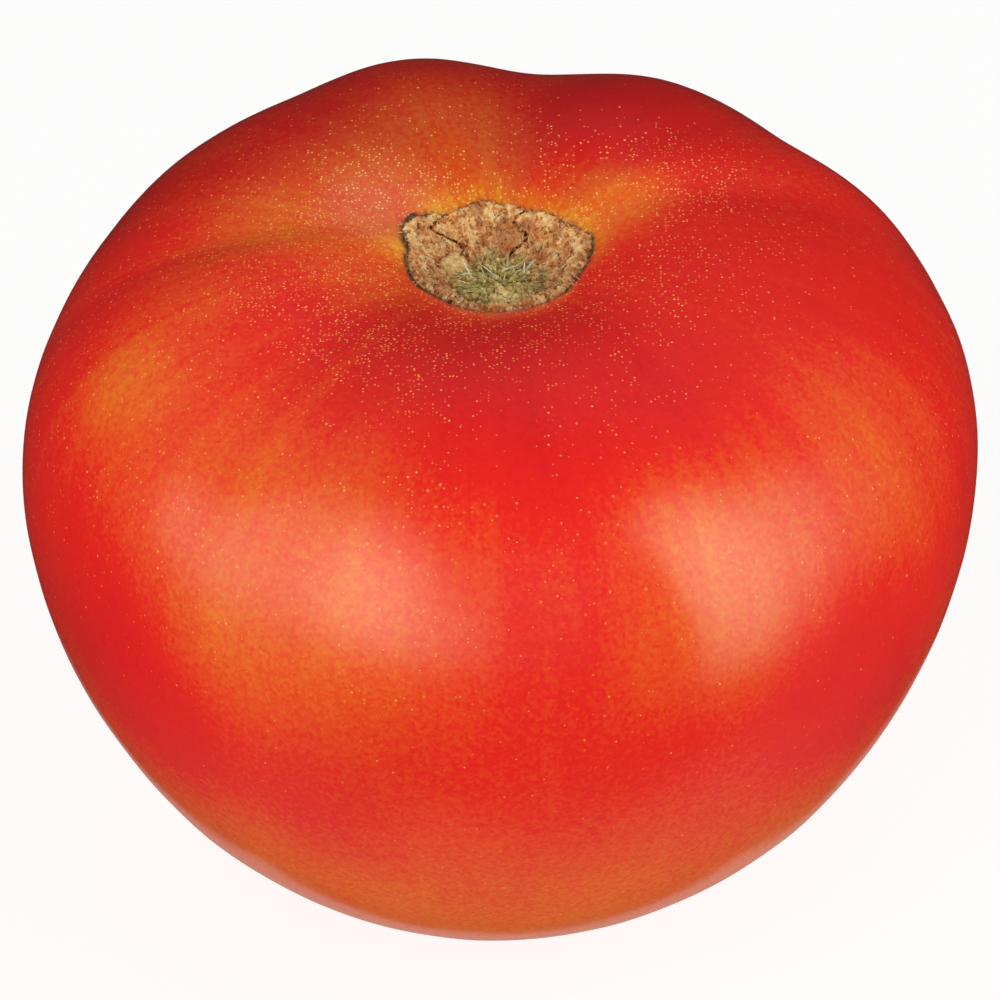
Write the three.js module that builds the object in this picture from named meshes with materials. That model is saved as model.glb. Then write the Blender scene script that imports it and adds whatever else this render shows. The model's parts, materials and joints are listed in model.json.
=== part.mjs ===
// A ripe oxheart tomato, picked, with the stem pulled out of its corky scar.
// Millimetres, +Z up. It rests on its blossom end: the origin is the middle of that flat spot.
// Azimuths are in degrees, anticlockwise from +X seen from above. The front faces -Y.
import * as THREE from 'three';

// Round profile of the fruit
const EQUATOR_RADIUS = 50;
const EQUATOR_HEIGHT = 50;
const DOME_HEIGHT = 28.5;
const SHOULDER_POWER = 2.75;
const BELLY_POWER = 2.45;
const TAPER_POWER = 1.7;
const FOOT_RADIUS = 10;
const HOLLOW_DEPTH = 7;
const HOLLOW_RADIUS = 16;
const LEAN = 1.2;

// Furrows that run out from the scar. The end is how far down the side one dies out, as a share
// of the way from the scar's edge (0) to the flat spot (1).
const FURROWS = [
  { azimuth: 19, depth: 1.5, width: 13, end: 0.5 },
  { azimuth: 47, depth: 0.8, width: 11, end: 0.5 },
  { azimuth: 84, depth: 0.9, width: 12, end: 0.52 },
  { azimuth: 120, depth: 0.5, width: 11, end: 0.48 },
  { azimuth: 175, depth: 1.3, width: 15, end: 0.44 },
  { azimuth: 228, depth: 1.2, width: 15, end: 0.46 },
  { azimuth: 308, depth: 0.8, width: 16, end: 0.44 },
];
const FURROW_ROUNDING = 0.2;
// They spread from a pole behind the scar's middle, which moves forward as they near the equator,
// so that they bow towards the front.
const FURROW_POLE = 5;
const FURROW_SWEEP = 8;

// Lobes that stand out from the round profile, or back from it
const LOBES = [
  { azimuth: 30, swell: 1.2, width: 16 },
  { azimuth: 64, swell: 2.8, width: 18 },
  { azimuth: 104, swell: 3.4, width: 18 },
  { azimuth: 131, swell: 1.1, width: 16 },
  { azimuth: 166, swell: -1.6, width: 20 },
  { azimuth: 225, swell: -1.5, width: 30 },
];
// Lobes and furrows grow from almost nothing at the scar's edge, and the lobes are gone at the belly
const RELIEF_START = -0.06;
const RELIEF_FULL = 0.16;
const LOBE_FADE = { from: 0.25, to: 0.75 };

// Stem scar: a corky bowl with a raised lip, cornered in plan
const SCAR_RADIUS = 9.4;
const SCAR_CORNERS = [
  { azimuth: 24, radius: 10 },
  { azimuth: 77, radius: 8.9 },
  { azimuth: 100, radius: 9.6 },
  { azimuth: 118, radius: 9.3 },
  { azimuth: 139, radius: 11.4 },
  { azimuth: 172, radius: 8.8 },
  { azimuth: 221, radius: 8.6 },
  { azimuth: 270, radius: 9.9 },
  { azimuth: 340, radius: 8.6 },
];
const SCAR_BLEND = 0.12;
const LIP_SHARE = 0.96;
const LIP_HEIGHT = 0.35;
const WALL_SHARE = 0.93;
const WALL_ROWS = 5;
const BOWL_DEPTH = 3.2;
const CORK_RIBS = 9;
const CORK_LUMPS = 5;
const CORK_RELIEF = 0.3;

// Stub of the stem, torn off level in the bottom of the bowl
const STUB_SHARE = 0.58;
const STUB_ROOT = 2;
const STUB_ROWS = 7;
const STUB_RIDGES = 7;
const STUB_RIDGE_HEIGHT = 0.35;
const PITH_RADIUS = 1.6;
const PITH_DIP = 0.5;
const GAP = 0.3;

// Facets
const SEGMENTS = 90;
const SIDE_ROWS = 34;
const PROFILE_SAMPLES = 80;

const { degToRad, euclideanModulo, lerp, radToDeg, smoothstep } = THREE.MathUtils;

function signedAngle(angle) {
  return euclideanModulo(angle + Math.PI, 2 * Math.PI) - Math.PI;
}

// Rows of the round profile, evenly spaced from the scar's edge to the flat spot. The dome is a
// superellipse with a bell-shaped hollow pressed into it, and the belly tapers as a second one.
function profileRows() {
  const samples = [];
  const scarTurn = Math.asin((SCAR_RADIUS / EQUATOR_RADIUS) ** (SHOULDER_POWER / 2));
  for (let i = 0; i <= PROFILE_SAMPLES; i += 1) {
    const turn = lerp(scarTurn, Math.PI / 2, i / PROFILE_SAMPLES);
    const radius = EQUATOR_RADIUS * Math.sin(turn) ** (2 / SHOULDER_POWER);
    const dome = DOME_HEIGHT * Math.max(Math.cos(turn), 0) ** (2 / SHOULDER_POWER);
    const hollow = HOLLOW_DEPTH * Math.exp(-((radius / HOLLOW_RADIUS) ** 2));
    samples.push(new THREE.Vector2(radius, EQUATOR_HEIGHT + dome - hollow));
  }
  const footTurn = Math.asin((FOOT_RADIUS / EQUATOR_RADIUS) ** (BELLY_POWER / 2));
  const footHeight = EQUATOR_HEIGHT * (1 - Math.cos(footTurn) ** (2 / TAPER_POWER));
  for (let i = 1; i <= PROFILE_SAMPLES; i += 1) {
    const turn = lerp(Math.PI / 2, footTurn, i / PROFILE_SAMPLES);
    const radius = EQUATOR_RADIUS * Math.sin(turn) ** (2 / BELLY_POWER);
    const height = EQUATOR_HEIGHT * (1 - Math.cos(turn) ** (2 / TAPER_POWER));
    samples.push(new THREE.Vector2(radius, height));
  }
  for (const sample of samples) {
    sample.y -= footHeight;
  }
  const curve = new THREE.SplineCurve(samples);
  const rows = [];
  for (let i = 0; i <= SIDE_ROWS; i += 1) {
    const share = i / SIDE_ROWS;
    const point = curve.getPointAt(share);
    const tangent = curve.getTangentAt(share);
    rows.push({ share, radius: point.x, height: point.y, outward: -tangent.y, upward: tangent.x });
  }
  return rows;
}

// How far the skin stands out from the round profile, towards a bearing from the furrows' pole
function relief(bearing, share) {
  const rise = smoothstep(share, RELIEF_START, RELIEF_FULL);
  const fade = rise * (1 - smoothstep(share, LOBE_FADE.from, LOBE_FADE.to));
  let height = 0;
  for (const { azimuth, swell, width } of LOBES) {
    const offset = signedAngle(bearing - degToRad(azimuth)) / degToRad(width);
    height += swell * Math.exp(-offset * offset) * fade;
  }
  for (const { azimuth, depth, width, end } of FURROWS) {
    const offset = signedAngle(bearing - degToRad(azimuth)) / degToRad(width);
    const notch = Math.exp(FURROW_ROUNDING - Math.hypot(offset, FURROW_ROUNDING));
    height -= depth * notch * rise * (1 - smoothstep(share, RELIEF_FULL, end));
  }
  return height;
}

// Plan radius of the scar, eased from corner to corner
function scarRadius(azimuth) {
  const degrees = euclideanModulo(radToDeg(azimuth), 360);
  const last = SCAR_CORNERS.length - 1;
  const next = SCAR_CORNERS.findIndex((corner) => corner.azimuth > degrees);
  const to = SCAR_CORNERS[next < 0 ? 0 : next];
  const from = SCAR_CORNERS[next > 0 ? next - 1 : last];
  const span = euclideanModulo(to.azimuth - from.azimuth, 360);
  const along = euclideanModulo(degrees - from.azimuth, 360) / span;
  return lerp(from.radius, to.radius, smoothstep(along, 0, 1));
}

function skinPoint(row, azimuth) {
  const reach = (row.radius - SCAR_RADIUS) / (EQUATOR_RADIUS - SCAR_RADIUS);
  const pole = FURROW_POLE - FURROW_SWEEP * Math.max(reach, 0);
  const bearing = Math.atan2(row.radius * Math.sin(azimuth) - pole, row.radius * Math.cos(azimuth));
  const lift = relief(bearing, row.share);
  const cornered = (scarRadius(azimuth) - SCAR_RADIUS) * (1 - smoothstep(row.share, 0, SCAR_BLEND));
  const radius = row.radius + cornered + row.outward * lift;
  const lean = LEAN * Math.max(1 - 2 * row.share, 0) ** 1.5;
  return new THREE.Vector3(
    radius * Math.cos(azimuth),
    radius * Math.sin(azimuth) + lean,
    row.height + row.upward * lift,
  );
}

// A point inside the scar: a share of the way out from its middle, at a depth below its edge
function scarPoint(share, depth, azimuth) {
  const edge = skinPoint(sideRows[0], azimuth);
  return new THREE.Vector3(
    edge.x * share,
    lerp(LEAN, edge.y, share),
    lerp(sideRows[0].height, edge.z, share) - depth,
  );
}

// Ribs and lumps of the cork, strongest half way down the bowl's wall
function corkRelief(azimuth, depth) {
  const ribs = Math.sin(CORK_RIBS * azimuth + 2 * Math.sin(2 * azimuth));
  const lumps = Math.sin(CORK_LUMPS * azimuth + 2.4 * depth) * Math.cos(1.9 * depth - 3 * azimuth);
  return CORK_RELIEF * Math.sin((Math.PI * depth) / BOWL_DEPTH) * (0.6 * ribs + 0.8 * lumps);
}

function lipHeight(azimuth) {
  const scallops = 0.6 * Math.sin(CORK_LUMPS * azimuth + 0.6) + 0.4 * Math.sin(11 * azimuth);
  return LIP_HEIGHT * (1 + scallops);
}

// A lathe body, each of whose rows then places its own vertices by azimuth
function turnedBody(rows, segments) {
  const stations = rows.map((row) => new THREE.Vector2(row.radius, row.height));
  const geometry = new THREE.LatheGeometry(stations, segments);
  geometry.rotateX(Math.PI / 2);
  const position = geometry.getAttribute('position');
  for (let i = 0; i < position.count; i += 1) {
    const row = rows[i % rows.length];
    const point = row.place(Math.atan2(position.getY(i), position.getX(i)));
    position.setXYZ(i, point.x, point.y, point.z);
  }
  geometry.computeVertexNormals();
  return geometry;
}

const sideRows = profileRows();

// One solid: flat spot, belly, lobed shoulders, corky bowl and the socket that the stub sits in
function fruitGeometry() {
  const rows = [{ radius: 0, height: 0, place: () => new THREE.Vector3() }];
  for (const row of [...sideRows].reverse()) {
    rows.push({ ...row, place: (azimuth) => skinPoint(row, azimuth) });
  }
  const top = sideRows[0].height;
  const bowl = (share, depth, height) => ({
    radius: SCAR_RADIUS * share,
    height: top - depth,
    place: (azimuth) => scarPoint(share, depth - height(azimuth), azimuth),
  });
  rows.push(bowl(LIP_SHARE, 0, lipHeight));
  for (let i = 1; i <= WALL_ROWS; i += 1) {
    const depth = (BOWL_DEPTH * i) / WALL_ROWS;
    const share = lerp(WALL_SHARE, STUB_SHARE, (i / WALL_ROWS) ** 1.3);
    rows.push(bowl(share, depth, (azimuth) => corkRelief(azimuth, depth)));
  }
  const flat = () => 0;
  rows.push(bowl(STUB_SHARE, BOWL_DEPTH + STUB_ROOT, flat));
  rows.push(bowl(0, BOWL_DEPTH + STUB_ROOT, flat));
  return turnedBody(rows, SEGMENTS);
}

// The stub fills its socket but for a gap, with ridges of torn bundles round a dip of pith
function stubGeometry() {
  const floor = BOWL_DEPTH + STUB_ROOT - GAP;
  const rim = STUB_SHARE - GAP / SCAR_RADIUS;
  const torn = (share) => (azimuth) => {
    const ridge = Math.sin(STUB_RIDGES * azimuth + 1.5 * Math.sin(azimuth)) * Math.sin(Math.PI * share);
    const pith = PITH_DIP * Math.exp(-(((share * rim * SCAR_RADIUS) / PITH_RADIUS) ** 2));
    return STUB_RIDGE_HEIGHT * (1 + ridge) * Math.min(4 * (1 - share), 1) - pith;
  };
  const level = (share, depth, height) => ({
    radius: share * rim * SCAR_RADIUS,
    height: -depth,
    place: (azimuth) => scarPoint(share * rim, depth - height(azimuth), azimuth),
  });
  const flat = () => 0;
  const rows = [level(0, floor, flat), level(1, floor, flat)];
  for (let i = 0; i <= STUB_ROWS; i += 1) {
    const share = 1 - i / STUB_ROWS;
    rows.push(level(share, BOWL_DEPTH, torn(share)));
  }
  return turnedBody(rows, SEGMENTS / 2);
}

const skin = new THREE.MeshStandardMaterial({ color: 0xcf2a1c, roughness: 0.35, metalness: 0 });
const stem = new THREE.MeshStandardMaterial({ color: 0x8a8448, roughness: 0.9, metalness: 0 });

const fruit = new THREE.Mesh(fruitGeometry(), skin);
fruit.name = 'fruit';
const stemStub = new THREE.Mesh(stubGeometry(), stem);
stemStub.name = 'stem_stub';

const tomato = new THREE.Group();
tomato.name = 'oxheart_tomato';
tomato.add(fruit, stemStub);

export default tomato;
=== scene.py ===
"""The looks of a ripe oxheart tomato: lobed skin with gold flecks round a corky stem scar.

Lengths are in metres and angles in degrees. Azimuths run anticlockwise from +X seen from above,
and the front faces -Y. The shaders work in millimetres.
"""
import json
import math
import random

import bpy
from mathutils import Matrix, Vector, noise

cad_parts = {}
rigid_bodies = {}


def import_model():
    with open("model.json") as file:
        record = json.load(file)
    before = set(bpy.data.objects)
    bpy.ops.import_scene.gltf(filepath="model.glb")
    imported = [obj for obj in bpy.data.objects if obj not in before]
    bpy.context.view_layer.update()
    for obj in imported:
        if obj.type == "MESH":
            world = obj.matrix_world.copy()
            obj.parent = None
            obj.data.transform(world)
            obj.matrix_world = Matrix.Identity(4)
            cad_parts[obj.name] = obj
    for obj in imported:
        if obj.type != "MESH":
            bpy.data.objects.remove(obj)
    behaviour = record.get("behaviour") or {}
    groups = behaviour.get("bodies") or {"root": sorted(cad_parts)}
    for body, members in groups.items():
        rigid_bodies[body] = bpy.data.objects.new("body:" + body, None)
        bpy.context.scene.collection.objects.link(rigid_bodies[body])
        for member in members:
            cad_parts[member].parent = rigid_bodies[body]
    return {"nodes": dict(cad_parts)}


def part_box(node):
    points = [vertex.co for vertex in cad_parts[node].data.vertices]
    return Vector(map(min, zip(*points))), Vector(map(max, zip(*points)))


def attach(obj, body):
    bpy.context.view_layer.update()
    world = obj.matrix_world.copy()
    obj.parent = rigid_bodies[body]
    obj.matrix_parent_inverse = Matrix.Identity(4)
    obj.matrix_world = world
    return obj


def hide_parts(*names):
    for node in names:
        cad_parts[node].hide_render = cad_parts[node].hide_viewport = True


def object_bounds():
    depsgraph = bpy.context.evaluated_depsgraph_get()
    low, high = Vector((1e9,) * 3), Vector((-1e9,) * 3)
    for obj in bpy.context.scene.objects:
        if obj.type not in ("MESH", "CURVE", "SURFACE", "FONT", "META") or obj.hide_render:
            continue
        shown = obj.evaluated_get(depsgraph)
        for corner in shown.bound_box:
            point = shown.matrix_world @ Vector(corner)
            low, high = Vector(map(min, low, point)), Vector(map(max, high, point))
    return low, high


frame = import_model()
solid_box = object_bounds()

MM = 0.001
SEED = 11

# Places that the frame gives
stub_low, stub_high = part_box("stem_stub")
SCAR_AXIS = Vector(((stub_low.x + stub_high.x) / 2, (stub_low.y + stub_high.y) / 2, 0))
SOCKET_FLOOR = Vector((SCAR_AXIS.x, SCAR_AXIS.y, stub_low.z))

# Rings of vertices from the middle of the scar's socket out to the edge of the skin
RINGS_TO_SOCKET = 1
RINGS_TO_LIP = 7
RINGS_TO_SKIN = 8
MERGE_WITHIN = 0.002 * MM

# Skin
SKIN_FINENESS = 2
BOWL_ROOM = 2.2 * MM
SWELL_SIZE = 13 * MM
SWELL_HEIGHT = 0.3 * MM
FOOT_CLEAR = 4 * MM
# The blossom end: steps inwards across the flat spot, each with its rise
DIMPLE_STEPS = ((2.5 * MM, 0), (2 * MM, 0.1 * MM), (2 * MM, 0.35 * MM), (1.6 * MM, 0.3 * MM))

# Cork in the scar
CORK_FINENESS = 3
SKIRT_SPREAD = 1.04
# The lip is uneven: where it is shifted, from the scar's axis, as lowest and highest x, then y, and the shift
LIP_SHIFTS = (
    ((-20 * MM, 20 * MM, -20 * MM, -3.5 * MM), (0, -0.45 * MM, -0.05 * MM)),
    ((-20 * MM, 20 * MM, -20 * MM, -6.5 * MM), (0, -0.6 * MM, -0.1 * MM)),
    ((-20 * MM, -5.5 * MM, 0, 20 * MM), (0, 0.25 * MM, 0.2 * MM)),
    ((-20 * MM, -7.5 * MM, 0, 20 * MM), (0.1 * MM, 0.25 * MM, 0.2 * MM)),
)
SKIRT_SINK = 0.4 * MM
SKIRT_DROP = 4.2 * MM
SKIRT_FLARE = 1.2
FOOT_BELOW_STUB = 3 * MM
SOCKET_DROP = 0.9 * MM
SOCKET_CLOSE = 0.82
CORK_PROUD = 0.1 * MM
LUMP_SIZE = 1.3 * MM
LUMP_HEIGHT = 0.5 * MM
CRUMB_SIZE = 0.6 * MM
CRUMB_HEIGHT = 0.85 * MM
GRIT_SIZE = 0.22 * MM
GRIT_HEIGHT = 0.5 * MM
CRACKS = (71, 127, 246)
CRACK_WIDTH = 0.14 * MM
CRACK_DEPTH = 0.6 * MM
CRACK_WANDER = 6
KNOB_PLACE = Vector((-4.4, 3.2, 0)) * MM
KNOB_SIZE = Vector((1.5, 1.9, 1.2)) * MM

# Torn stem in the bottom of the scar
STEM_FINENESS = 3
FIBRE_SIZE = 0.8 * MM
FIBRE_HEIGHT = 0.6 * MM
SHRED_SIZE = 0.3 * MM
SHRED_HEIGHT = 0.7 * MM
PITH_PLACE = (0.9, -1.9, 69.9)
GREEN_PLACE = (-2.4, -1.3, 69.9)
# The longest slivers: foot from the scar's axis, azimuth, rise and length
LONG_SLIVERS = (
    ((-1.9 * MM, -0.6 * MM), 121, 32, 3.6 * MM),
    ((-2.5 * MM, 0.3 * MM), 118, 30, 2.4 * MM),
    ((-1.0 * MM, 1.2 * MM), 117, 24, 1.7 * MM),
    ((1.4 * MM, 1.0 * MM), 54, 24, 1.5 * MM),
    ((2.8 * MM, 1.4 * MM), 88, 35, 1.4 * MM),
)

# Fibres and hairs
ROOT_DEPTH = 0.12 * MM

# Camera
VIEW_ELEVATION = 35
VIEW_DISTANCE = 450 * MM
VIEW_AIM = Vector((0.35, 1.6, 42.3)) * MM
VIEW_SPAN = 105.7 * MM
SENSOR = 36

# Studio
FLOOR_SIZE = 8
SKY_SEEN = 0.95
SKY_LIGHT = 0.03
LIGHT_AIM = Vector((0, 0, 50)) * MM
LIGHT_COLOUR = (1, 0.97, 0.94)
# Soft boxes that the skin mirrors: brightness along the azimuths and up the elevations that each
# spans, seen from the fruit, then how far the shading leans to the left, and the brightness
SOFT_BOXES = (
    (
        "left_box",
        (
            (-190, 0),
            (-174, 0.05),
            (-168, 0.5),
            (-160, 0.56),
            (-148, 0.47),
            (-140, 0.67),
            (-124, 1),
            (-116, 0.75),
            (-108, 0.46),
            (-100, 0.24),
            (-94, 0),
        ),
        (
            (-24, 0),
            (-13, 0.12),
            (-7, 0.28),
            (5, 0.68),
            (14, 0.92),
            (24, 1),
            (38, 1),
            (45, 0.9),
            (51, 0.7),
            (57, 0.48),
            (63, 0.22),
            (68, 0),
        ),
        18,
        2.6,
    ),
    (
        "right_box",
        ((-47, 0.88), (-40, 1), (-28, 0.98), (-20, 0.7), (-12, 0.3), (-4, 0.13), (4, 0.08), (10, 0)),
        (
            (-29, 0.2),
            (-22, 0.34),
            (-16, 0.48),
            (-7, 0.68),
            (2, 0.83),
            (17, 1),
            (37, 1),
            (44, 0.9),
            (50, 0.74),
            (56, 0.54),
            (62, 0.34),
            (68, 0),
        ),
        -12,
        2.5,
    ),
)
# The shading leans about this elevation
LEAN_ABOUT = 24
# Flat lights: azimuth and elevation of the middle, width and height as angles seen from the fruit,
# brightness, and whether the skin mirrors it, as it does the pale floor behind
FLAT_LIGHTS = (
    ("front_fill", -90, 24, 46, 62, 1.34, False),
    ("right_fill", 5, 15, 39, 50, 1.33, False),
    ("right_low_fill", -5, -45, 38, 40, 1.5, False),
    ("left_fill", -150, -12, 34, 74, 0.8, False),
    ("left_back_fill", 152, 47, 31, 35, 1.2, False),
    ("back_fill", 70, 50, 75, 36, 1.2, False),
    ("base_fill", 90, -80, 80, 70, 2.5, False),
    ("floor_glow", 90, -54, 36, 24, 0.32, True),
)
BOX_DISTANCE = 0.5
FLAT_DISTANCE = 0.5


class Wire:
    """A shader socket that Python's operators work on: an expression adds its Math nodes."""

    def __init__(self, finish, socket):
        self.finish = finish
        self.socket = socket

    def beside(self, output):
        """Another output of the same node."""
        return Wire(self.finish, self.socket.node.outputs[output])

    def __add__(self, other):
        return self.finish.math("ADD", self, other)

    def __radd__(self, other):
        return self.finish.math("ADD", other, self)

    def __sub__(self, other):
        return self.finish.math("SUBTRACT", self, other)

    def __rsub__(self, other):
        return self.finish.math("SUBTRACT", other, self)

    def __mul__(self, other):
        return self.finish.math("MULTIPLY", self, other)

    def __rmul__(self, other):
        return self.finish.math("MULTIPLY", other, self)

    def __truediv__(self, other):
        return self.finish.math("DIVIDE", self, other)

    def __pow__(self, other):
        return self.finish.math("POWER", self, other)


class Finish:
    """The nodes of a material, a light or the world. Each comes from node(), which gives an output."""

    MIX_SHARE, MIX_LOW, MIX_HIGH, MIX_COLOUR = 0, 6, 7, 2

    def __init__(self, owner):
        self.owner = owner
        owner.use_nodes = True
        self.tree = owner.node_tree
        self.tree.nodes.clear()

    def node(self, kind, settings=None, sockets=None, output=0):
        added = self.tree.nodes.new("ShaderNode" + kind)
        for key, value in (settings or {}).items():
            if key == "stops":
                self.set_stops(added.color_ramp, value)
            else:
                setattr(added, key, value)
        for key, value in (sockets or {}).items():
            if isinstance(value, Wire):
                self.tree.links.new(value.socket, added.inputs[key])
            else:
                added.inputs[key].default_value = value
        return Wire(self, added.outputs[output]) if added.outputs else None

    def set_stops(self, ramp, stops):
        while len(ramp.elements) < len(stops):
            ramp.elements.new(1)
        for element, (place, colour) in zip(ramp.elements, stops):
            element.position = place
            element.color = (*colour, 1)

    def math(self, operation, first, second):
        return self.node("Math", {"operation": operation}, {0: first, 1: second})

    def step(self, value, low, high):
        """0 below low and 1 above high, with a smooth rise between. Low may be above high."""
        sockets = {"Value": value, "From Min": low, "From Max": high}
        return self.node("MapRange", {"interpolation_type": "SMOOTHSTEP"}, sockets)

    def mix(self, share, low, high):
        settings = {"data_type": "RGBA"}
        sockets = {self.MIX_SHARE: share, self.MIX_LOW: low, self.MIX_HIGH: high}
        return self.node("Mix", settings, sockets, self.MIX_COLOUR)

    def ramp(self, value, stops):
        return self.node("ValToRGB", {"stops": stops}, {"Fac": value})

    def vector(self, operation, first, second, output=0):
        return self.node("VectorMath", {"operation": operation}, {0: first, 1: second}, output)

    def near(self, place, middle, radius):
        """1 close to a point, and 0 further from it than a little over this radius."""
        distance = self.vector("DISTANCE", place, middle, "Value")
        return self.step(distance, radius * 1.25, radius * 0.2)

    def millimetres(self):
        """Object coordinates, in millimetres."""
        place = self.node("TexCoord", output="Object")
        return self.vector("MULTIPLY", place, (1000, 1000, 1000))

    def split(self, vector):
        x = self.node("SeparateXYZ", sockets={0: vector})
        return x, x.beside(1), x.beside(2)

    def join(self, x, y, z):
        return self.node("CombineXYZ", sockets={0: x, 1: y, 2: z})

    def noise(self, place, size, detail=2, roughness=0.5):
        sockets = {"Vector": place, "Scale": 1 / size, "Detail": detail, "Roughness": roughness}
        return self.node("TexNoise", sockets=sockets)

    def cells(self, place, size, scatter):
        """Distance to the middle of the nearest of scattered cells, in cell sizes."""
        sockets = {"Vector": place, "Scale": 1 / size, "Randomness": scatter}
        return self.node("TexVoronoi", sockets=sockets)

    def attribute(self, name):
        return self.node("Attribute", {"attribute_name": name}, output="Fac")

    def bump(self, height, depth):
        """A surface normal from a height of 0 to 1 that stands for this depth."""
        return self.node("Bump", sockets={"Height": height, "Distance": depth, "Strength": 1})

    def surface(self, sockets):
        shader = self.node("BsdfPrincipled", sockets=sockets)
        self.node("OutputMaterial", sockets={"Surface": shader})
        return self.owner


def new_material(name):
    return Finish(bpy.data.materials.new(name))


# Colours, linear
DARK_RED = (0.66, 0.0132, 0.0155)
DEEP_RED = (0.75, 0.0146, 0.016)
RED = (0.82, 0.022, 0.0145)
ORANGE_RED = (0.84, 0.0745, 0.015)
ORANGE = (0.85, 0.18, 0.017)
YELLOW = (0.89, 0.37, 0.025)
AMBER = (0.92, 0.38, 0.05, 1)
CREAM = (0.97, 0.64, 0.2, 1)
PALE_CREAM = (0.97, 0.9, 0.82, 1)
PAINTED_SHADE_COLOUR = (0.03, 0.001, 0.001, 1)
# Dark brown: the cork's own dark rim, and also painted shade under the cork and along the lip
BARK_AND_SHADE = (0.09, 0.035, 0.015, 1)

# Blushes on the skin: middle and radius in millimetres, and how much paler, or riper below 0
BLUSHES = (
    # Paler under the left soft box's reflection: partly the skin's own orange, partly painted light
    ((-18, -41, 63), 22, 0.31),
    ((-36.5, -17, 68.5), 7, 0.2),
    ((-34, -22, 67.5), 14, 0.12),
    ((-32, -9, 72), 9, 0.12),
    ((-29, -39, 55), 10, 0.06),
    ((-19, -46, 38), 10, -0.08),
    # Paler under the right soft box's reflection: partly the skin's own orange, partly painted light
    ((22, -41.5, 63), 15, 0.3),
    ((35, -26, 66), 15, 0.2),
    ((17, -35, 70.5), 10, 0.12),
    ((3, -42, 68.5), 9, 0.1),
    ((-6, 18, 76.5), 13, 0.28),
    ((-19, 9, 73.7), 12, 0.26),
    ((-26, 1, 74), 12, 0.1),
    ((-12.5, -4, 73.5), 8, 0.22),
    ((12, 9.5, 74.5), 8, 0.38),
    ((-7, 11, 73.5), 3, 0.15),
    ((0, 13.5, 74.5), 3, 0.12),
    ((-11.5, 5, 73.5), 5, 0.16),
    ((2, -29, 74), 20, -0.22),
    ((20, -25, 73), 15, -0.1),
    ((13, 23, 77), 11, -0.28),
    ((31, -1, 74), 15, -0.08),
    ((-34, -34, 43), 14, -0.19),
    ((-41, -26, 51), 12, -0.1),
    ((36, -34, 44), 15, -0.16),
    ((0, 50, 55), 22, 0.14),
    ((45, 22, 50), 20, -0.14),
    ((-44, 26, 52), 20, 0.1),
)
# The fruit is paler below this height, and palest from the lower one down
# Partly the blossom end's own paler colour, partly painted light bounced up from the floor
PALE_BELOW = (50, 19)
PALE_BASE = 0.32
# Painted shade: the far shoulders are darkened, from this far back, and at most by this share
PAINTED_SHADE_FROM = (4, 21)
PAINTED_SHADE_SIDE = 8
PAINTED_SHADE_SLANT = 0.8
PAINTED_SHADE_SHARE = 0.35
# Patches of painted shade on the skin: middle and radius in millimetres, and share
PAINTED_SHADE_PATCHES = (
    ((-3, -14, 74.5), 16, 0.21),
    ((28, 9, 74), 13, 0.1),
    ((-43, -22, 42), 11, 0.12),
    ((39.5, -29, 41), 9, 0.08),
    ((-13, -47.5, 46), 10, 0.06),
    ((-11, -33, 72), 10, 0.06),
)
# Soft clouds of colour
CLOUD_SIZE = 12
CLOUD_CHANGE = 0.06
# Flecks come in drifts
DRIFT_SIZE = 5
# Behind the scar the flecks are paler and finer, and a faint pale veil there is a painted sheen
PALE_FLECKS_AND_SHEEN_PLACE = (-12, 9.5, 73.5)
PALE_FLECKS_AND_SHEEN_RADIUS = 7.5
GOLD_PLACE = (19, 15, 75.5)
GOLD_RADIUS = 10
FLECK_CELL = 0.38
FLECK_SCATTER = 0.85


def rise(value, low, high):
    """0 below low and 1 above high, with a smooth rise between. Low may be above high."""
    share = min(max((value - low) / (high - low), 0), 1)
    return share * share * (3 - 2 * share)


def nearness(place, middle, radius):
    """1 close to a point, and 0 further from it than a little over this radius."""
    return rise((place - Vector(middle)).length, radius * 1.25, radius * 0.2)


def blush(vertex):
    """How much paler than the rest the skin is at a vertex."""
    place = vertex.co / MM
    # The lower fruit is paler, partly as painted light bounced up from the floor
    paler = PALE_BASE * rise(place.z, *PALE_BELOW) + CLOUD_CHANGE * noise.noise(place / CLOUD_SIZE)
    for middle, radius, change in BLUSHES:
        paler += change * nearness(place, middle, radius)
    return paler


def dullness(vertex):
    """How much painted shade darkens the skin at a vertex."""
    place = vertex.co / MM
    back = place.y - PAINTED_SHADE_SLANT * max(place.x - PAINTED_SHADE_SIDE, 0)
    painted_darkening = PAINTED_SHADE_SHARE * rise(back, *PAINTED_SHADE_FROM) * rise(place.z, 46, 68)
    for middle, radius, share in PAINTED_SHADE_PATCHES:
        painted_darkening += share * nearness(place, middle, radius)
    return painted_darkening


def drift(vertex):
    """How thick the flecks lie at a vertex, against the rest."""
    place = vertex.co / MM / DRIFT_SIZE
    return rise(noise.noise(place) + 0.5 * noise.noise(place * 2), -0.6, 0.6)


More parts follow.
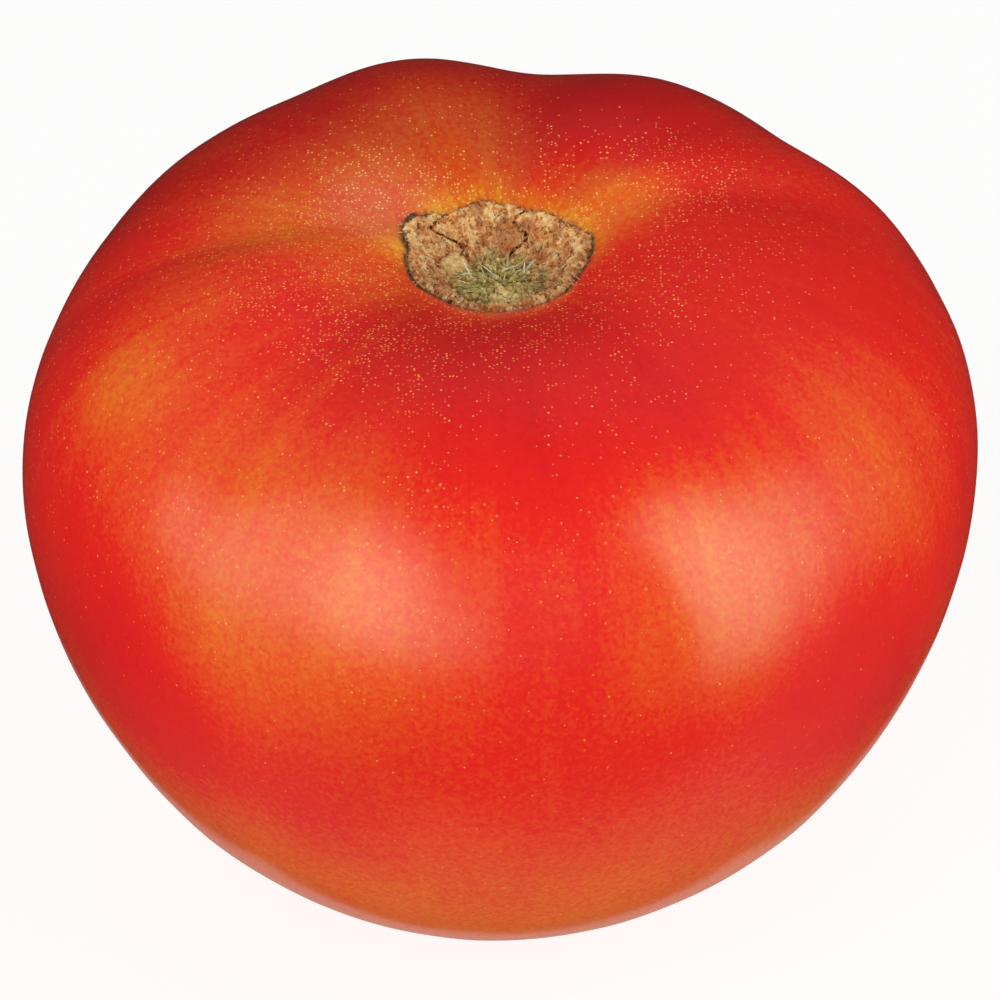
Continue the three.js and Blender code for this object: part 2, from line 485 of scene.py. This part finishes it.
def ripe_skin():
    skin = new_material("ripe_skin")
    place = skin.millimetres()
    x, y, z = skin.split(place)
    across = y - SCAR_AXIS.y / MM
    reach = (x * x + across * across) ** 0.5
    shoulder = skin.step(z, 46, 68)

    # How pale the skin is, from 0, deep red, to 1, yellow
    paleness = 0.42 + skin.attribute("blush")

    # Streaks that run out from the scar, over the shoulders
    around = skin.join(x / reach * 14, across / reach * 14, z * 0.05)
    streaks = skin.noise(around, 1, 2, 0.6)
    paleness = paleness + (streaks - 0.5) * (0.08 + 0.24 * shoulder)

    # Yellow ring at the scar's far side and sides
    ragged = reach + (streaks - 0.5) * 6
    far_side = skin.step(across, -5, 3)
    ring = skin.step(ragged, 13.4, 9) * far_side * shoulder
    paleness = paleness + ring * 0.4

    # Grain of the flesh just under the skin
    fleck = skin.cells(place, FLECK_CELL, FLECK_SCATTER)
    chance, width, strength = skin.split(fleck.beside("Color"))
    grain = skin.noise(place, 0.7, 2, 0.75)
    paleness = paleness + (grain - 0.5) * 0.3 + (width - 0.5) * 0.13

    colour = skin.ramp(
        paleness,
        (
            (0, DARK_RED),
            (0.15, DEEP_RED),
            (0.42, RED),
            (0.62, ORANGE_RED),
            (0.84, ORANGE),
            (1, YELLOW),
        ),
    )

    # Painted shade: the far shoulders and some patches are darkened towards near black
    painted_darkening = skin.attribute("dullness")
    colour = skin.mix(painted_darkening, colour, PAINTED_SHADE_COLOUR)

    # Gold flecks: in crowds round the scar, most of them on the left, and few on the belly
    pale_flecks_and_painted_sheen = skin.near(place, PALE_FLECKS_AND_SHEEN_PLACE, PALE_FLECKS_AND_SHEEN_RADIUS)
    gilt = skin.near(place, GOLD_PLACE, GOLD_RADIUS)
    near_scar = skin.step(reach, 37, 13) * shoulder
    left = skin.step(x, 16, -14) * shoulder
    high = skin.step(z, 40, 68)
    far_back = skin.step(across, 10, 24)
    crowd = 0.012 + 0.04 * high + near_scar * (0.44 + 0.5 * left) + 0.1 * left + 0.7 * pale_flecks_and_painted_sheen + 0.6 * gilt
    crowd = crowd * (0.45 + 1.1 * skin.attribute("drift")) * (1 - 1.1 * painted_darkening) * (1 - 0.55 * far_back)
    shown = skin.step(chance - crowd, 0.02, -0.02)
    radius = 0.18 + 0.11 * width - 0.03 * pale_flecks_and_painted_sheen
    dots = skin.step(fleck - radius, 0.07, -0.07) * shown
    gold = skin.mix(strength, AMBER, CREAM)
    gold = skin.mix(pale_flecks_and_painted_sheen * 0.65, gold, PALE_CREAM)
    # Painted sheen: a faint pale veil over the skin behind the scar
    colour = skin.mix(pale_flecks_and_painted_sheen * 0.045, colour, PALE_CREAM)
    colour = skin.mix(dots * (0.3 + 0.4 * strength + 0.25 * near_scar), colour, gold)

    # Painted shade: the skin under the cork is darkened
    painted_shade_under_cork = skin.step(reach, 8.6, 8) * shoulder
    colour = skin.mix(painted_shade_under_cork, colour, BARK_AND_SHADE)

    return skin.surface({
        "Base Color": colour,
        "Roughness": 0.19 + (grain - 0.5) * 0.1,
        "Specular IOR Level": 0.62,
    })


def scar_cork():
    cork = new_material("scar_cork")
    place = cork.millimetres()
    x, y, z = cork.split(place)
    across = y - SCAR_AXIS.y / MM
    reach = (x * x + across * across) ** 0.5
    relief = cork.attribute("relief")
    lip = cork.attribute("lip")
    patches = cork.noise(place, 2.2, 2)
    blush = cork.noise(place, 1.3, 2)
    crumbs = cork.noise(place, 0.3, 3, 0.7)
    # Strands that run down the wall
    strands = cork.noise(cork.join(x / reach * 9, across / reach * 9, z * 0.5), 0.6, 2, 0.6)
    # Colour by how far the cork stands out: painted shade in its hollows and cracks and painted light on its lumps,
    # mixed with its own mottle and strands
    height = relief * 0.9 + 0.57 + (crumbs - 0.5) * 1.0 + (strands - 0.5) * 0.7
    colour = cork.ramp(
        height,
        (
            (0.08, (0.045, 0.014, 0.005)),
            (0.3, (0.33, 0.1, 0.02)),
            (0.5, (0.78, 0.33, 0.08)),
            (0.8, (0.98, 0.7, 0.33)),
        ),
    )
    colour = cork.mix(cork.step(blush, 0.5, 0.7) * 0.5, colour, (0.87, 0.4, 0.16, 1))
    colour = cork.mix(cork.step(patches, 0.48, 0.62) * 0.65, colour, (0.42, 0.11, 0.018, 1))
    # Painted shade: the wall is darker low down beside the stem, and on the near side, most in its hollows
    low = cork.step(z + (patches - 0.5) * 4, 72.2, 70)
    painted_shade_near_side = cork.step(across + (strands - 0.5) * 4, 2, -3)
    colour = cork.mix((low * 0.4 + painted_shade_near_side * 0.75) * (1.3 - height), colour, (0.36, 0.09, 0.011, 1))
    pits = cork.step(cork.noise(place, 0.42, 2), 0.4, 0.3)
    colour = cork.mix(pits * 0.7, colour, (0.05, 0.02, 0.009, 1))
    far_side = cork.step(across, -2, 3)
    # A dark ragged edge at the lip, darker on the far side: partly the cork's own dark rim, partly a painted shadow
    # line where the lip meets the skin
    edge = cork.step(lip + (crumbs - 0.5) * 0.5 + far_side * 0.15, 0.58, 0.76)
    colour = cork.mix(edge * 0.9, colour, BARK_AND_SHADE)
    return cork.surface({
        "Base Color": colour,
        "Roughness": 0.75 + (crumbs - 0.5) * 0.2,
        "Normal": cork.bump(crumbs, 0.12 * MM),
        "Specular IOR Level": 0.35,
    })


def torn_stem():
    stem = new_material("torn_stem")
    place = stem.millimetres()
    x, y, z = stem.split(place)
    across = y - SCAR_AXIS.y / MM
    reach = (x * x + across * across) ** 0.5
    relief = stem.attribute("relief")
    around = stem.join(x / reach * 5, across / reach * 5, reach * 0.25)
    fibres = stem.noise(around, 0.5, 3, 0.65)
    blots = stem.noise(place, 1.5, 2)
    crumbs = stem.noise(place, 0.3, 3, 0.7)
    # Colour by how far the stem stands out: painted shade in its hollows and painted light on its raised parts, mixed
    # with its own fibres and crumbs
    height = 0.46 + relief * 0.9 + (fibres - 0.5) * 1.3 + (crumbs - 0.5) * 0.7
    colour = stem.ramp(
        height,
        (
            (0.08, (0.045, 0.024, 0.006)),
            (0.35, (0.26, 0.17, 0.034)),
            (0.58, (0.58, 0.42, 0.11)),
            (0.9, (0.96, 0.8, 0.38)),
        ),
    )
    green = stem.step(blots, 0.48, 0.66) * 0.55 + stem.near(place, GREEN_PLACE, 2.2) * 0.5
    colour = stem.mix(green, colour, stem.ramp(height, ((0.2, (0.07, 0.09, 0.012)), (0.8, (0.5, 0.56, 0.15)))))
    rim = stem.step(reach + (blots - 0.5) * 6, 2.6, 5)
    tan = stem.ramp(height, ((0.1, (0.1, 0.036, 0.01)), (0.45, (0.52, 0.24, 0.07)), (0.9, (0.95, 0.6, 0.25))))
    colour = stem.mix(rim * 0.85, colour, tan)
    pith = stem.near(place, PITH_PLACE, 2.4) * stem.step(crumbs, 0.3, 0.5)
    colour = stem.mix(pith * 0.9, colour, (0.97, 0.76, 0.33, 1))
    return stem.surface({
        "Base Color": colour,
        "Roughness": 0.6 + (blots - 0.5) * 0.3,
        "Normal": stem.bump(fibres, 0.1 * MM),
        "Specular IOR Level": 0.4,
    })


def speckled(name, dark, pale, size, roughness):
    """A thin dry piece's finish: two colours in small blots."""
    thin = new_material(name)
    blots = thin.noise(thin.millimetres(), size, 2)
    colour = thin.ramp(blots, ((0.3, dark), (0.7, pale)))
    return thin.surface({
        "Base Color": colour,
        "Roughness": roughness + (blots - 0.5) * 0.2,
    })


def leave():
    """Ends edit mode, if it is on."""
    if bpy.context.mode != "OBJECT":
        bpy.ops.object.mode_set(mode="OBJECT")


def pick(piece):
    """Leaves only this piece selected, and active, in object mode."""
    leave()
    bpy.ops.object.select_all(action="DESELECT")
    piece.select_set(True)
    bpy.context.view_layer.objects.active = piece


def edit(piece):
    pick(piece)
    bpy.ops.object.mode_set(mode="EDIT")
    bpy.ops.mesh.select_mode(type="VERT")


def select_where(piece, wanted):
    """Selects the vertices whose place is wanted, and stays in edit mode."""
    edit(piece)
    bpy.ops.mesh.select_all(action="DESELECT")
    leave()
    for vertex in piece.data.vertices:
        vertex.select = wanted(vertex.co)
    edit(piece)


def select_rings(piece, middle, rings):
    """Selects what lies within so many rings round the vertex nearest to middle, in edit mode."""
    nearest = min(piece.data.vertices, key=lambda vertex: (vertex.co - middle).length).co.copy()
    select_where(piece, lambda place: place == nearest)
    for _ in range(rings):
        bpy.ops.mesh.select_more()


def select_rim(piece, wanted):
    """Selects the open edges whose vertices are wanted, in edit mode."""
    edit(piece)
    bpy.ops.mesh.select_all(action="DESELECT")
    bpy.ops.mesh.select_non_manifold(use_wire=False, use_multi_face=False, use_non_contiguous=False)
    leave()
    rim = [vertex.index for vertex in piece.data.vertices if vertex.select and wanted(vertex.co)]
    select_where(piece, lambda place: False)
    leave()
    for index in rim:
        piece.data.vertices[index].select = True
    edit(piece)


def change(piece, kind, **settings):
    """Adds a modifier and applies it."""
    pick(piece)
    modifier = piece.modifiers.new(kind.lower(), kind)
    for key, value in settings.items():
        setattr(modifier, key, value)
    bpy.ops.object.modifier_apply(modifier=modifier.name)


def refine(piece, levels):
    edit(piece)
    bpy.ops.mesh.select_all(action="SELECT")
    bpy.ops.mesh.tris_convert_to_quads()
    leave()
    change(piece, "SUBSURF", levels=levels, render_levels=levels)
    bpy.ops.object.shade_smooth()


def roughen(piece, name, kind, size, height, group="", **settings):
    """Pushes the surface in and out by a texture of this grain size."""
    texture = bpy.data.textures.new(name, kind)
    texture.noise_scale = size
    for key, value in settings.items():
        setattr(texture, key, value)
    change(piece, "DISPLACE", texture=texture, texture_coords="LOCAL", strength=height, vertex_group=group)


def merged_copy(node, name):
    """A copy of one of the frame's solids, its loose triangles merged, to model on."""
    piece = bpy.data.objects.new(name, frame["nodes"][node].data.copy())
    piece.data.name = name
    piece.data.materials.clear()
    bpy.context.collection.objects.link(piece)
    edit(piece)
    bpy.ops.mesh.customdata_custom_splitnormals_clear()
    bpy.ops.mesh.select_all(action="SELECT")
    bpy.ops.mesh.remove_doubles(threshold=MERGE_WITHIN)
    leave()
    return piece


def mark(piece, name, value):
    """Keeps a value for each vertex, for the material to read."""
    attribute = piece.data.attributes.new(name, "FLOAT", "POINT")
    for vertex in piece.data.vertices:
        attribute.data[vertex.index].value = value(vertex)


def places_and_normals(piece):
    return [(vertex.co.copy(), vertex.normal.copy()) for vertex in piece.data.vertices]


def mark_relief(piece, smooth):
    """Keeps how far, in millimetres, each vertex now stands out from the smooth surface."""
    def height(vertex):
        place, normal = smooth[vertex.index]
        return (vertex.co - place).dot(normal) / MM
    mark(piece, "relief", height)


def model_skin():
    """The fruit's solid, smoothed, with its bowl sunk to make room for the cork."""
    skin = merged_copy("fruit", "tomato_skin")
    select_rings(skin, SOCKET_FLOOR, RINGS_TO_LIP)
    bpy.ops.transform.translate(value=(0, 0, -BOWL_ROOM))
    select_rings(skin, Vector((0, 0, 0)), 0)
    bpy.ops.mesh.dissolve_verts()
    bpy.ops.mesh.select_mode(type="FACE")
    leave()
    foot = min(skin.data.polygons, key=lambda face: face.center.z)
    foot.select = True
    bpy.ops.object.mode_set(mode="EDIT")
    for width, rise in DIMPLE_STEPS:
        bpy.ops.mesh.inset(thickness=width, depth=-rise)
    bpy.ops.mesh.poke()
    leave()
    refine(skin, SKIN_FINENESS)
    above_foot = skin.vertex_groups.new(name="above_foot")
    for vertex in skin.data.vertices:
        above_foot.add([vertex.index], min(max(vertex.co.z / FOOT_CLEAR - 0.5, 0), 1), "REPLACE")
    roughen(skin, "swell", "CLOUDS", SWELL_SIZE, SWELL_HEIGHT, "above_foot", noise_depth=1)
    mark(skin, "blush", blush)
    mark(skin, "dullness", dullness)
    mark(skin, "drift", drift)
    return skin


def bearing(place):
    return math.degrees(math.atan2(place.y - SCAR_AXIS.y, place.x - SCAR_AXIS.x)) % 360


def in_area(place, left, right, near, far):
    return left < place.x < right and near < place.y < far


def in_crack(place):
    """Whether a place on the cork lies in one of the cracks, which wander as they go down."""
    out = (place - SCAR_AXIS).to_2d().length
    for index, azimuth in enumerate(CRACKS):
        bend = CRACK_WANDER * math.sin(place.z / MM * 2.1 + index * 1.7)
        turn = (bearing(place) - azimuth - bend + 180) % 360 - 180
        if abs(math.radians(turn)) * out < CRACK_WIDTH:
            return True
    return False


def model_cork():
    """The corky bowl of the scar, lumpy and cracked, tucked under the skin at its edge."""
    cork = merged_copy("fruit", "scar_cork")
    select_rings(cork, SOCKET_FLOOR, RINGS_TO_SKIN)
    bpy.ops.mesh.select_all(action="INVERT")
    bpy.ops.mesh.delete(type="VERT")
    leave()
    select_rings(cork, SOCKET_FLOOR, RINGS_TO_LIP)
    leave()
    mark(cork, "lip", lambda vertex: 0.0 if vertex.select else 0.5)
    select_rings(cork, SOCKET_FLOOR, RINGS_TO_SOCKET)
    bpy.ops.mesh.delete(type="VERT")
    leave()
    half_way = (stub_low.z + max(vertex.co.z for vertex in cork.data.vertices)) / 2
    select_rim(cork, lambda place: place.z > half_way)
    bpy.ops.mesh.extrude_region_move(TRANSFORM_OT_translate={"value": (0, 0, -SKIRT_SINK)})
    bpy.ops.transform.resize(value=(SKIRT_SPREAD, SKIRT_SPREAD, 1), center_override=SCAR_AXIS)
    leave()
    for vertex in cork.data.vertices:
        if vertex.select:
            cork.data.attributes["lip"].data[vertex.index].value = 1
    for area, shift in LIP_SHIFTS:
        select_rim(cork, lambda place: place.z > half_way and in_area(place - SCAR_AXIS, *area))
        bpy.ops.transform.translate(value=shift)
        leave()
    select_rim(cork, lambda place: place.z < half_way)
    bpy.ops.mesh.extrude_region_move(TRANSFORM_OT_translate={"value": (0, 0, -SOCKET_DROP)})
    bpy.ops.transform.resize(value=(SOCKET_CLOSE, SOCKET_CLOSE, 1), center_override=SCAR_AXIS)
    leave()
    refine(cork, CORK_FINENESS)
    smooth = places_and_normals(cork)
    change(cork, "DISPLACE", strength=CORK_PROUD, mid_level=0)
    roughen(cork, "cork_lumps", "VORONOI", LUMP_SIZE, -LUMP_HEIGHT)
    roughen(cork, "cork_crumbs", "CLOUDS", CRUMB_SIZE, CRUMB_HEIGHT, noise_depth=3)
    roughen(cork, "cork_grit", "CLOUDS", GRIT_SIZE, GRIT_HEIGHT, noise_depth=2)
    select_where(cork, in_crack)
    bpy.ops.transform.shrink_fatten(value=-CRACK_DEPTH)
    leave()
    mark_relief(cork, smooth)
    select_rim(cork, lambda place: place.z > half_way)
    bpy.ops.mesh.extrude_region_move(TRANSFORM_OT_translate={"value": (0, 0, -SKIRT_DROP)})
    foot = Vector((SCAR_AXIS.x, SCAR_AXIS.y, stub_low.z - FOOT_BELOW_STUB))
    bpy.ops.transform.resize(value=(SKIRT_FLARE, SKIRT_FLARE, 0), center_override=foot)
    leave()
    for highest in (foot.z + FOOT_BELOW_STUB / 4, half_way):
        select_rim(cork, lambda place: place.z < highest)
        bpy.ops.mesh.edge_face_add()
        leave()
    edit(cork)
    bpy.ops.mesh.select_all(action="SELECT")
    bpy.ops.mesh.normals_make_consistent(inside=False)
    leave()
    return cork


def model_stem():
    """What is left of the stem: torn fibres round a paler pith."""
    stem = merged_copy("stem_stub", "torn_stem")
    refine(stem, STEM_FINENESS)
    smooth = places_and_normals(stem)
    roughen(stem, "stem_fibres", "VORONOI", FIBRE_SIZE, -FIBRE_HEIGHT)
    roughen(stem, "stem_shreds", "CLOUDS", SHRED_SIZE, SHRED_HEIGHT, noise_depth=2)
    mark_relief(stem, smooth)
    return stem


def model_blade(name, length, radius, sides, tip, bow):
    """A thin fibre that stands on the origin, tapered to its tip and bowed to one side."""
    bpy.ops.object.select_all(action="DESELECT")
    bpy.ops.mesh.primitive_cylinder_add(
        vertices=sides, radius=radius, depth=length, location=(0, 0, length / 2))
    blade = bpy.context.active_object
    blade.name = name
    bpy.ops.object.transform_apply(location=True, rotation=True, scale=True)
    for share in (0.33, 0.66):
        edit(blade)
        bpy.ops.mesh.select_all(action="SELECT")
        bpy.ops.mesh.bisect(plane_co=(0, 0, length * share), plane_no=(0, 0, 1))
        leave()
    select_where(blade, lambda place: 0.3 * length < place.z < 0.7 * length)
    bpy.ops.transform.translate(value=(bow, 0, 0))
    leave()
    select_where(blade, lambda place: place.z > 0.9 * length)
    bpy.ops.transform.resize(value=(tip, tip, 1), center_override=(0, 0, length))
    leave()
    return blade


def scatter(template, name, placings):
    """Copies of a template, one for each placing, joined in one piece. The template goes."""
    copies = []
    for placing in placings:
        copy = template.copy()
        copy.data = template.data.copy()
        bpy.context.collection.objects.link(copy)
        copy.matrix_world = placing
        copies.append(copy)
    bpy.data.objects.remove(template)
    bpy.ops.object.select_all(action="DESELECT")
    for copy in copies:
        copy.select_set(True)
    bpy.context.view_layer.objects.active = copies[0]
    bpy.ops.object.join()
    bpy.ops.object.transform_apply(location=True, rotation=True, scale=True)
    piece = bpy.context.active_object
    piece.name = name
    piece.data.name = name
    return piece


def standing(foot, direction, roll, width, length):
    """The placing of a blade that grows from foot in this direction."""
    turn = direction.to_track_quat("Z", "Y").to_matrix().to_4x4()
    size = Matrix.Diagonal((width, width, length, 1))
    return Matrix.Translation(foot) @ turn @ Matrix.Rotation(roll, 4, "Z") @ size


def surface_below(piece, across, along):
    """The highest point of a piece at this plan place, or None beside it."""
    hit, place, normal, face = piece.ray_cast(Vector((across, along, solid_box[1][2] + 10 * MM)), (0, 0, -1))
    return place if hit else None


def outward(azimuth, elevation):
    turn = math.radians(azimuth)
    rise = math.radians(elevation)
    return Vector((math.cos(turn) * math.cos(rise), math.sin(turn) * math.cos(rise), math.sin(rise)))


def model_fibres(stem, name, count, reach, rise, length, radius, bow, seed, chosen=()):
    """Loose fibres that stand out of the torn stem: chosen ones, then drawn ones."""
    draw = random.Random(seed)
    wanted = [(Vector((*foot, 0)), azimuth, elevation, size / length, 1.5) for foot, azimuth, elevation, size in chosen]
    for _ in range(count):
        azimuth = draw.uniform(0, 360)
        foot = outward(azimuth, 0) * reach * math.sqrt(draw.random())
        turned = azimuth + draw.uniform(-70, 70)
        wanted.append((foot, turned, draw.uniform(*rise), draw.uniform(0.5, 1.3), draw.uniform(0.7, 1.3)))
    placings = []
    for foot, azimuth, elevation, stretch, width in wanted:
        ground = surface_below(stem, SCAR_AXIS.x + foot.x, SCAR_AXIS.y + foot.y)
        lean = outward(azimuth, elevation)
        roll = draw.uniform(0, 2 * math.pi)
        placings.append(standing(ground - lean * ROOT_DEPTH, lean, roll, width, stretch))
    return scatter(model_blade(name + "_one", length, radius, 5, 0.3, bow), name, placings)


def model_cork_fibres(cork, name, count, length, radius, seed):
    """Short dry fibres that lie on the cork, most of them down its wall."""
    draw = random.Random(seed)
    lip = cork.data.attributes["lip"].data
    feet = [v for v in cork.data.vertices if lip[v.index].value < 0.9 and v.co.z > stub_high.z - 1 * MM]
    placings = []
    for _ in range(count):
        foot = draw.choice(feet)
        down = Vector((0, 0, -1)) - foot.normal * -foot.normal.z
        spin = Matrix.Rotation(math.radians(draw.gauss(0, 50)), 3, foot.normal)
        lean = (spin @ down.normalized() + foot.normal * draw.uniform(0.05, 0.5)).normalized()
        roll = draw.uniform(0, 2 * math.pi)
        place = foot.co - lean * ROOT_DEPTH
        placings.append(standing(place, lean, roll, draw.uniform(0.7, 1.3), draw.uniform(0.4, 1.3)))
    return scatter(model_blade(name + "_one", length, radius, 4, 0.3, 0.1 * length), name, placings)


def model_hairs(cork, count, length, radius, seed):
    """Short brown hairs along the scar's lip."""
    draw = random.Random(seed)
    lip = cork.data.attributes["lip"].data
    feet = [v.co.copy() for v in cork.data.vertices if lip[v.index].value > 0.4 and v.co.z > stub_high.z + 1 * MM]
    placings = []
    for _ in range(count):
        foot = draw.choice(feet)
        lean = outward(bearing(foot) + draw.uniform(-75, 75), draw.uniform(5, 75))
        if draw.random() < 0.5:
            lean = Vector((-lean.x, -lean.y, lean.z))
        roll = draw.uniform(0, 2 * math.pi)
        placings.append(standing(foot - lean * ROOT_DEPTH, lean, roll, 1, draw.uniform(0.4, 1.3)))
    return scatter(model_blade("rim_hair_one", length, radius, 4, 0.25, 0.1 * length), "rim_hairs", placings)


def model_knob(stem):
    """A pale knob of cork beside the torn stem."""
    ground = surface_below(stem, SCAR_AXIS.x + KNOB_PLACE.x, SCAR_AXIS.y + KNOB_PLACE.y)
    bpy.ops.object.select_all(action="DESELECT")
    bpy.ops.mesh.primitive_uv_sphere_add(segments=24, ring_count=16, radius=1, location=ground)
    knob = bpy.context.active_object
    knob.name = "cork_knob"
    knob.data.name = "cork_knob"
    bpy.ops.transform.resize(value=KNOB_SIZE)
    bpy.ops.object.transform_apply(location=True, rotation=True, scale=True)
    change(knob, "SUBSURF", levels=2, render_levels=2)
    bpy.ops.object.shade_smooth()
    roughen(knob, "knob_lumps", "CLOUDS", LUMP_SIZE, LUMP_HEIGHT, noise_depth=1)
    roughen(knob, "knob_crumbs", "CLOUDS", CRUMB_SIZE / 2, CRUMB_HEIGHT / 2, noise_depth=2)
    return knob


def model_blossom_scar(skin):
    """The small dry scar of the flower, in the dimple of the blossom end."""
    hit, place, normal, face = skin.ray_cast(Vector((0, 0, -10 * MM)), (0, 0, 1))
    bpy.ops.object.select_all(action="DESELECT")
    bpy.ops.mesh.primitive_uv_sphere_add(segments=24, ring_count=12, radius=1, location=(0, 0, place.z))
    scar = bpy.context.active_object
    scar.name = "blossom_scar"
    scar.data.name = "blossom_scar"
    bpy.ops.transform.resize(value=(1.5 * MM, 1.3 * MM, 0.25 * MM))
    bpy.ops.object.transform_apply(location=True, rotation=True, scale=True)
    change(scar, "SUBSURF", levels=1, render_levels=1)
    bpy.ops.object.shade_smooth()
    roughen(scar, "blossom_crumbs", "CLOUDS", 0.5 * MM, 0.3 * MM)
    return scar


def slope(angle):
    return math.tan(math.radians(angle))


def shares(stops, middle):
    """Brightness stops by angle, as grey stops along a light's flat face, which faces middle."""
    low = slope(stops[0][0] - middle)
    high = slope(stops[-1][0] - middle)
    return [((slope(angle - middle) - low) / (high - low), (grey, grey, grey)) for angle, grey in stops]


def area_light(name, place, away, width, height, level):
    """A flat light of this size, turned to face the opposite of away."""
    bpy.ops.object.light_add(type="AREA", location=place)
    light = bpy.context.active_object
    light.name = name
    light.rotation_euler = (-away).to_track_quat("-Z", "Y").to_euler()
    light.data.shape = "RECTANGLE"
    light.data.size = width
    light.data.size_y = height
    light.data.energy = level * math.pi * width * height
    light.data.color = LIGHT_COLOUR
    return light


def soft_box(name, across, up, lean, level):
    """An upright light that spans these angles, shaded from edge to edge, at a lean."""
    middle = (across[0][0] + across[-1][0]) / 2
    away = outward(middle, 0)
    width = 2 * BOX_DISTANCE * slope(across[-1][0] - middle)
    low = BOX_DISTANCE * slope(up[0][0])
    high = BOX_DISTANCE * slope(up[-1][0])
    place = LIGHT_AIM + away * BOX_DISTANCE + Vector((0, 0, (low + high) / 2))
    light = area_light(name, place, away, width, high - low, level)
    glow = Finish(light.data)
    right, top, _ = glow.split(glow.node("TexCoord", output="UV"))
    pivot = (BOX_DISTANCE * slope(LEAN_ABOUT) - low) / (high - low)
    leaning = right + (top - pivot) * (slope(lean) * (high - low) / width)
    shade_across = glow.ramp(leaning, shares(across, middle))
    shade = glow.vector("MULTIPLY", shade_across, glow.ramp(top, shares(up, 0)))
    glow.node("OutputLight", sockets={"Surface": glow.node("Emission", sockets={"Color": shade})})


def flat_light(name, azimuth, elevation, width, height, level, mirrored):
    """An even light that faces the fruit from this direction."""
    away = outward(azimuth, elevation)
    spans = [2 * FLAT_DISTANCE * slope(angle / 2) for angle in (width, height)]
    light = area_light(name, LIGHT_AIM + away * FLAT_DISTANCE, away, *spans, level)
    light.visible_glossy = mirrored


def set_stage():
    bpy.ops.object.select_all(action="DESELECT")
    bpy.ops.mesh.primitive_plane_add(size=FLOOR_SIZE)
    floor = bpy.context.active_object
    floor.name = "floor"
    pale = new_material("pale_floor")
    cloud = pale.noise(pale.millimetres(), 400, 1)
    floor.data.materials.append(pale.surface({
        "Base Color": pale.ramp(cloud, ((0, (0.13, 0.13, 0.13)), (1, (0.16, 0.16, 0.16)))),
        "Roughness": 0.9,
        "Emission Color": (1, 1, 1, 1),
        "Emission Strength": 0.86,
    }))
    floor.visible_glossy = False
    floor.visible_diffuse = False
    floor.visible_shadow = False

    for light in SOFT_BOXES:
        soft_box(*light)
    for light in FLAT_LIGHTS:
        flat_light(*light)

    world = bpy.data.worlds.new("studio")
    sky = Finish(world)
    seen = sky.node("LightPath", output="Is Camera Ray")
    strength = SKY_LIGHT + seen * (SKY_SEEN - SKY_LIGHT)
    sky.node("OutputWorld", sockets={"Surface": sky.node("Background", sockets={"Strength": strength})})
    bpy.context.scene.world = world
    bpy.context.scene.view_settings.view_transform = "Standard"


def set_camera():
    away = outward(-90, VIEW_ELEVATION)
    bpy.ops.object.camera_add(location=VIEW_AIM + away * VIEW_DISTANCE)
    camera = bpy.context.active_object
    camera.rotation_euler = (-away).to_track_quat("-Z", "Y").to_euler()
    camera.data.sensor_width = SENSOR
    camera.data.lens = SENSOR * VIEW_DISTANCE / VIEW_SPAN
    bpy.context.scene.camera = camera


def finish_piece(piece, material, stands_for=()):
    piece.data.materials.clear()
    piece.data.materials.append(material)
    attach(piece, "root")
    for node in stands_for:
        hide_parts(node)


set_camera()
set_stage()

skin_piece = model_skin()
cork_piece = model_cork()
stem_piece = model_stem()
knob_piece = model_knob(stem_piece)
slivers = model_fibres(
    stem_piece, "stem_slivers", 12, 3.6 * MM, (5, 35), 2 * MM, 0.06 * MM, 0.03 * MM, SEED, LONG_SLIVERS)
fibres = model_fibres(stem_piece, "stem_fibres", 180, 4.6 * MM, (-5, 30), 1.5 * MM, 0.06 * MM, 0.15 * MM, SEED + 1)
hairs = model_hairs(cork_piece, 360, 0.8 * MM, 0.035 * MM, SEED + 2)
cork_fibres = model_cork_fibres(cork_piece, "cork_fibres", 420, 0.9 * MM, 0.045 * MM, SEED + 3)
cork_shreds = model_cork_fibres(cork_piece, "cork_shreds", 300, 0.7 * MM, 0.045 * MM, SEED + 4)
blossom_scar = model_blossom_scar(skin_piece)

finish_piece(skin_piece, ripe_skin(), ["fruit"])
finish_piece(cork_piece, scar_cork())
finish_piece(knob_piece, speckled("pale_cork", (0.5, 0.28, 0.08), (0.95, 0.7, 0.32), 0.5, 0.7))
finish_piece(stem_piece, torn_stem(), ["stem_stub"])
finish_piece(slivers, speckled("glassy_sliver", (0.55, 0.56, 0.42), (0.9, 0.9, 0.82), 0.4, 0.25))
finish_piece(fibres, speckled("green_fibre", (0.18, 0.17, 0.04), (0.66, 0.55, 0.22), 0.6, 0.55))
finish_piece(hairs, speckled("brown_hair", (0.07, 0.03, 0.014), (0.4, 0.24, 0.12), 0.8, 0.6))
finish_piece(cork_fibres, speckled("tan_fibre", (0.55, 0.25, 0.075), (0.95, 0.62, 0.29), 0.7, 0.6))
finish_piece(cork_shreds, speckled("brown_shred", (0.06, 0.024, 0.01), (0.26, 0.11, 0.04), 0.7, 0.6))
finish_piece(blossom_scar, speckled("blossom_cork", (0.12, 0.06, 0.03), (0.36, 0.23, 0.12), 0.5, 0.7))
